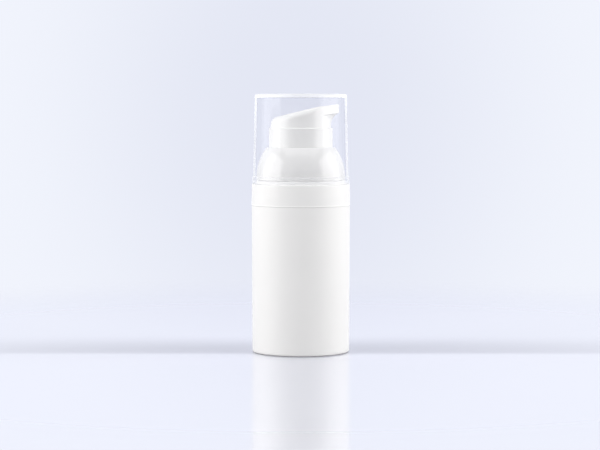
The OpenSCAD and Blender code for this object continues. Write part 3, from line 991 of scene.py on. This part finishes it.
def plan_angles(tip_steps, back_steps):
    """Normal angles round the plan, closer together at the spout's end."""
    side = math.acos((HEAD_R - TIP_R) / (SPOUT_REACH - TIP_R))
    tip = [-side + 2 * side * i / tip_steps for i in range(tip_steps + 1)]
    back = [side + (TURN - 2 * side) * i / back_steps for i in range(1, back_steps)]
    return [a - TURN if a > math.pi else a for a in tip + back]


HEAD_ANGLES = plan_angles(tip_steps=28, back_steps=92)


def rounding_at(x):
    """Rounding of the finger rest's edge: full over the cylinder, small at the spout's end."""
    share = min(1.0, max(0.0, (x - BEND_X / 2) / (SPOUT_REACH - TIP_R - BEND_X / 2)))
    return TOP_ROUND + (TIP_ROUND - TOP_ROUND) * share * share * (3 - 2 * share)


def circle_ring(r, z):
    """A level ring round the axis."""
    return [(r * math.cos(a), r * math.sin(a), z) for a in HEAD_ANGLES]


def roof_ring(r):
    """A ring on the cavity's roof, which slants as the finger rest does."""
    return [(x, y, z + x * math.tan(SLOPE)) for x, y, z in circle_ring(r, ROOF_AT_AXIS)]


def wall_ring(z):
    """A ring of the outer wall. It is level at the foot and follows the finger rest's edge at the top."""
    share = (z - WALL_LOW) / (WALL_TOP - WALL_LOW)
    ring = []
    for a in HEAD_ANGLES:
        x, y = plan_point(a, wall_reach(z))
        ring.append((x, y, WALL_LOW + share * (rest_height(x) - rounding_at(x) - WALL_LOW)))
    return ring


def edge_ring(t):
    """A ring of the finger rest's rounded edge, from t = 0 on the wall to a quarter turn on the rest."""
    ring = []
    for a in HEAD_ANGLES:
        r = rounding_at(plan_point(a, SPOUT_REACH)[0])
        x, y = plan_point(a, SPOUT_REACH, r * (1 - math.cos(t)))
        ring.append((x, y, rest_height(x) - r * (1 - math.sin(t))))
    return ring


def rest_ring(share):
    """A ring of the dished finger rest, drawn in towards the axis by this share."""
    ring = []
    for x, y, z in edge_ring(math.pi / 2):
        inner = x * (1 - share)
        ring.append((inner, y * (1 - share), rest_height(inner) - DISH * math.sin(share * math.pi / 2)))
    return ring


def socket_outline():
    """From the product's channel down the stem's socket and up the outside of its boss."""
    socket_r = STEM_R + SLIDE
    return rounded(
        [
            (STEM_BORE_R, CHANNEL_FLOOR, 0),
            (STEM_BORE_R, AXIS_TOP - SOCKET_ROOF, FINE_EDGE),
            (socket_r, AXIS_TOP - SOCKET_ROOF, FINE_EDGE),
            (socket_r, BOSS_Z, EDGE),
            (BOSS_R, BOSS_Z, EDGE),
            (BOSS_R, SKIRT_TOP, 0),
        ],
        closed=False,
    )


def skirt_outline():
    """Down the inside of the skirt, up its outside and over its step to the head's wall."""
    inner_skirt = SKIRT_R - HEAD_WALL
    return rounded(
        [
            (CAVITY_R, SKIRT_TOP, 0),
            (CAVITY_R, SKIRT_TOP - HEAD_WALL, FINE_EDGE),
            (inner_skirt, SKIRT_TOP - HEAD_WALL, EDGE),
            (inner_skirt, SKIRT_FOOT, FINE_EDGE),
            (SKIRT_R, SKIRT_FOOT, EDGE),
            (SKIRT_R, SKIRT_TOP, EDGE),
            (HEAD_R, SKIRT_TOP, STEP_ROUND),
            (HEAD_R, SKIRT_TOP + STEP_LAND, 0),
        ],
        closed=False,
    )


def head_rings():
    """Rings of the head's whole skin, from the socket, round the skirt's foot and over the finger rest."""
    rings = [circle_ring(r, z) for r, z in socket_outline()]
    rings += [roof_ring(r) for r in (BOSS_R, (BOSS_R + CAVITY_R) / 2, CAVITY_R)]
    rings += [circle_ring(r, z) for r, z in skirt_outline()[:-1]]
    land = SKIRT_TOP + STEP_LAND
    rings += [wall_ring(land + (UNDER_Z - land) * k / 6) for k in range(7)]
    hollow = math.asin((TIP_Z - UNDER_Z) / UNDER_R)
    rings += [wall_ring(UNDER_Z + UNDER_R * math.sin(hollow * k / 18)) for k in range(1, 19)]
    rings += [wall_ring(TIP_Z + (WALL_TOP - TIP_Z) * k / 5) for k in range(1, 6)]
    rings += [edge_ring(math.pi / 2 * k / 12) for k in range(1, 13)]
    rings += [rest_ring(share) for share in (0.06, 0.14, 0.24, 0.36, 0.48, 0.6, 0.72, 0.84, 0.93)]
    return rings


def skin(rings):
    """A closed surface over rings of equal counts, each end closed by a fan to its middle."""
    count = len(rings[0])
    points = [Vector(p) * MM for ring in rings for p in ring]
    faces = []
    for j in range(len(rings) - 1):
        low, high = j * count, (j + 1) * count
        for i in range(count):
            k = (i + 1) % count
            faces.append((low + i, low + k, high + k, high + i))
    for j in (0, len(rings) - 1):
        middle = sum((Vector(p) * MM for p in rings[j]), Vector()) / count
        points.append(middle)
        for i in range(count):
            faces.append((j * count + i, j * count + (i + 1) % count, len(points) - 1))
    mesh = bpy.data.meshes.new("skin")
    mesh.from_pydata(points, [], faces)
    face_outwards(mesh)
    return mesh


def rod(radius, start, end):
    """A closed rod between two points, in millimetres."""
    work = bmesh.new()
    a, b = Vector(start) * MM, Vector(end) * MM
    turn = Vector((0, 0, 1)).rotation_difference(b - a).to_matrix().to_4x4()
    bmesh.ops.create_cone(
        work,
        cap_ends=True,
        segments=ROD_SIDES,
        radius1=radius * MM,
        radius2=radius * MM,
        depth=(b - a).length,
        matrix=Matrix.Translation((a + b) / 2) @ turn,
    )
    mesh = bpy.data.meshes.new("rod")
    work.to_mesh(mesh)
    work.free()
    return mesh


def combine(piece, other_mesh, operation):
    """Joins another mesh to the piece or cuts it out, by the boolean operation named, and removes it."""
    other = shown("other", other_mesh)
    modifier = piece.modifiers.new("combine", "BOOLEAN")
    modifier.operation = operation
    modifier.solver = "EXACT"
    modifier.object = other
    made = frozen(piece)
    piece.modifiers.remove(modifier)
    piece.data = made
    bpy.data.objects.remove(other)


def soften(mesh, angle):
    """Smooth faces, with a sharp line wherever two faces meet at more than the angle."""
    work = bmesh.new()
    work.from_mesh(mesh)
    for face in work.faces:
        face.smooth = True
    for line in work.edges:
        line.smooth = not line.is_manifold or line.calc_face_angle(0) < angle
    work.to_mesh(mesh)
    work.free()


def channel_middle(x):
    """The middle of the product's channel at x. It climbs as the finger rest does."""
    return (x, 0, CHANNEL_FLOOR + x * math.tan(SLOPE))


def make_actuator(material):
    """The pump head, with the tube round the product's channel and the channel through the spout."""
    piece = shown("actuator_gloss", skin(head_rings()))
    tube_start = channel_middle(BOSS_R - BOSS_SINK)
    tube_end = channel_middle(CAVITY_R + WALL_SINK)
    combine(piece, rod(CHANNEL_R + CHANNEL_WALL, tube_start, tube_end), "UNION")
    mouth = channel_middle(SPOUT_REACH + OVERSHOOT)
    combine(piece, rod(CHANNEL_R, channel_middle(0), mouth), "DIFFERENCE")
    piece.data.materials.clear()
    piece.data.materials.append(material)
    soften(piece.data, HEAD_CREASE)
    return dress(piece, "head", "gloss_white", "actuator")


def make_ribs(material):
    """The head's inner ribs, sunk a little into the boss, the wall and the roof."""
    values = {
        "Inner reach": (BOSS_R - WALL_SINK) * MM,
        "Outer reach": (CAVITY_R + WALL_SINK) * MM,
        "Thickness": RIB_T * MM,
        "Foot": RIB_Z * MM,
        "Roof": (ROOF_AT_AXIS + ROOF_SINK) * MM,
        "Slope": math.tan(SLOPE),
        "Count": RIB_COUNT,
        "Finish": material,
    }
    piece = grow("actuator_ribs", bpy.data.meshes.new("start"), rib_tree(), values)
    soften(piece.data, RIB_CREASE)
    return dress(piece, "head", "gloss_white", "actuator")


def make_spring(material):
    """The wound return spring."""
    values = {
        "Coil radius": SPRING_R * MM,
        "Wire radius": WIRE_R * MM,
        "Foot": SPRING_FOOT * MM,
        "Top": SPRING_TOP * MM,
        "Turns": float(SPRING_TURNS),
        "End pitch": (2 * WIRE_R + END_TURN_GAP) * MM,
        "Steps per turn": 64,
        "Sides": 16,
        "Finish": material,
    }
    piece = grow("return_spring_wire", bpy.data.meshes.new("start"), spring_tree(), values)
    dress(piece, "bottle", "steel", "return_spring")
    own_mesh(piece)
    return piece


def paint_node(node, material):
    """A better material on a frame node whose shape stays."""
    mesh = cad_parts[node].data
    mesh.materials.clear()
    mesh.materials.append(material)


# Surroundings


def make_floor():
    """A glossy pale floor that fades into the backdrop, with a painted shadow: a dark streak behind the
    bottle's foot.
    It sends less light back up on the object than it shows to the camera."""
    made, bench = new_material("studio_floor")
    place = object_place(bench)
    split = bench.add("ShaderNodeSeparateXYZ", {}, {0: place})
    x, y = bench.out(split, "X"), bench.out(split, "Y")
    distance = (x * x + y * y).of("SQRT")
    plain = bench.add("ShaderNodeBsdfDiffuse", {}, {"Color": (0.79, 0.81, 0.925, 1)})
    gloss = bench.add("ShaderNodeBsdfGlossy", {}, {"Color": (0.97, 0.975, 1, 1), "Roughness": 0.1})
    polished = blend_shaders(bench, 0.72, plain, gloss)
    dim = bench.add("ShaderNodeBsdfDiffuse", {}, {"Color": (0.45, 0.45, 0.47, 1)})
    # Painted shadow: a dark band just behind the foot that fades towards the sides
    shadow_rows = y.smooth(-0.011, -0.003) * (1 - y.smooth(0.002, 0.05))
    painted_shadow_share = shadow_rows * (1 - distance.smooth(0.03, 0.22))
    shadow = bench.add("ShaderNodeBsdfDiffuse", {}, {"Color": (0.2, 0.2, 0.25, 1)})
    polished = blend_shaders(bench, 0.24 * painted_shadow_share, polished, shadow)
    path = bench.add("ShaderNodeLightPath")
    polished = blend_shaders(bench, bench.out(path, "Is Diffuse Ray"), polished, dim)
    clear = bench.add("ShaderNodeBsdfTransparent")
    close_surface(bench, blend_shaders(bench, distance.smooth(0.17, 0.30), polished, clear))
    half = 0.32
    corners = [(-half, -half, 0), (half, -half, 0), (half, half, 0), (-half, half, 0)]
    mesh = bpy.data.meshes.new("studio_floor")
    mesh.from_pydata(corners, [], [(0, 1, 2, 3)])
    mesh.materials.append(made)
    floor = shown("studio_floor", mesh)


def make_world():
    """Pale lavender surroundings that the camera sees, a plainer soft light for the object, and a darker room
    on the camera's side for its reflections."""
    world = bpy.data.worlds.new("studio")
    bpy.context.scene.world = world
    world.use_nodes = True
    world.node_tree.nodes.clear()
    bench = Bench(world.node_tree)
    direction = bench.out(bench.add("ShaderNodeTexCoord"), "Generated")
    split = bench.add("ShaderNodeSeparateXYZ", {}, {0: direction})
    x, z = bench.out(split, "X"), bench.out(split, "Z")
    spread = (x * x + z * z * 0.6).of("SQRT").smooth(0.02, 0.17)
    seen = bench.add(
        "ShaderNodeBackground",
        {},
        {"Color": tint(bench, spread, (0.775, 0.80, 0.905), (0.88, 0.905, 0.98)), "Strength": 1.0},
    )
    ambient = bench.add("ShaderNodeBackground", {}, {"Color": (0.97, 0.98, 1.0, 1), "Strength": 0.45})
    room = bench.add("ShaderNodeBackground", {}, {"Color": (0.4, 0.4, 0.43, 1), "Strength": 1.0})
    path = bench.add("ShaderNodeLightPath")
    mirrored = bench.out(path, "Is Glossy Ray")
    sight = bench.out(path, "Is Camera Ray") + bench.out(path, "Is Transmission Ray") + mirrored
    sight = sight.of("MINIMUM", 1.0)
    camera_side = 1 - bench.out(split, "Y").smooth(-0.2, 0.35)
    backdrop = blend_shaders(bench, mirrored * camera_side, seen, room)
    mixed = blend_shaders(bench, sight, ambient, backdrop)
    bench.add("ShaderNodeOutputWorld", {}, {"Surface": bench.out(mixed)})


# Lamps: their colour, and in metres the side boxes' height over the floor and the point that the others face
WARM_WHITE = (1.0, 0.985, 0.965)
SOFTBOX_FOOT = 0.01
BOTTLE_MIDDLE = (0, 0, 0.05)


def softbox(name, place, target, width, height, brightness, role):
    """A large soft lamp that faces the target. Its role is to light the object or to show in reflections."""
    lamp = bpy.data.lights.new(name, "AREA")
    lamp.shape = "RECTANGLE"
    lamp.size = width
    lamp.size_y = height
    lamp.energy = brightness * math.pi * width * height
    lamp.color = WARM_WHITE
    holder = bpy.data.objects.new(name, lamp)
    bpy.context.scene.collection.objects.link(holder)
    holder.location = place
    holder.rotation_euler = (Vector(target) - Vector(place)).to_track_quat("-Z", "Y").to_euler()
    holder.visible_camera = False
    holder.visible_diffuse = role == "light"
    holder.visible_glossy = role == "reflection"
    holder.visible_transmission = role == "reflection"


def side_softbox(name, start, end, distance, rise, brightness, role):
    """An upright softbox whose width spans two angles, in degrees, seen from above and measured from the
    camera. Its rise is its height as a share of its distance."""
    half = math.radians(abs(end - start)) / 2
    turn = math.radians((start + end) / 2)
    height = rise * distance
    place = (distance * math.sin(turn), -distance * math.cos(turn), height / 2 + SOFTBOX_FOOT)
    softbox(name, place, (0, 0, place[2]), 2 * distance * math.tan(half), height, brightness, role)


def make_lights():
    """Tall boxes on both sides, one above and one behind. The sheens are those that show in reflections."""
    side_softbox("softbox_left", -46, -90, 0.55, 0.95, 4.08, "light")
    side_softbox("softbox_right", 54, 100, 0.55, 0.95, 4.05, "light")
    side_softbox("softbox_left_sheen", -52, -112, 0.5, 0.9, 1.64, "reflection")
    side_softbox("softbox_right_sheen", 56, 116, 0.5, 0.9, 1.64, "reflection")
    softbox("softbox_above", (0, 0, 0.62), BOTTLE_MIDDLE, 0.5, 0.5, 0.8, "light")
    softbox("softbox_above_sheen", (0, 0, 0.6), BOTTLE_MIDDLE, 0.8, 0.8, 0.9, "reflection")
    softbox("softbox_behind", (0, 0.55, 0.5), BOTTLE_MIDDLE, 0.8, 0.3, 0.8, "light")


def make_camera():
    """The photograph's view: a long lens, a little above the bottle's middle, looking slightly down."""
    lens = bpy.data.cameras.new("photo_view")
    lens.lens = 114.5
    lens.sensor_width = 36
    lens.clip_start = 0.01
    holder = bpy.data.objects.new("photo_view", lens)
    bpy.context.scene.collection.objects.link(holder)
    look_down = 3.28
    roll = 0.02
    place = Matrix.Translation((-0.00028, -0.661, 0.08187))
    level = Matrix.Rotation(math.radians(90 - look_down), 4, "X")
    holder.matrix_world = place @ (level @ Matrix.Rotation(math.radians(roll), 4, "Z"))
    bpy.context.scene.camera = holder


# The object, piece by piece, then what surrounds it
TURNING = turning_tree()

satin = satin_body_white()
band = collar_band_white()
head_gloss = gloss_head_white()
dome_gloss = gloss_dome_white()
milky = milky_moulding()
waxy = piston_moulding()
wire_steel = drawn_steel()

make_body(satin)
make_base_plug(milky)
make_collar(band)
make_dome(dome_gloss)
make_actuator(head_gloss)
make_ribs(head_gloss)
make_spring(wire_steel)
make_overcap(clear_cap_plastic())
for node in ("pump_housing", "housing_cap", "stem", "piston_seat"):
    paint_node(node, milky)
for node in ("follower_piston", "piston_wiper"):
    paint_node(node, waxy)
paint_node("neck_gasket", foam_gasket())
paint_node("inlet_ball", ground_steel())

make_floor()
make_world()
make_lights()
make_camera()
bpy.context.scene.view_settings.view_transform = "Standard"
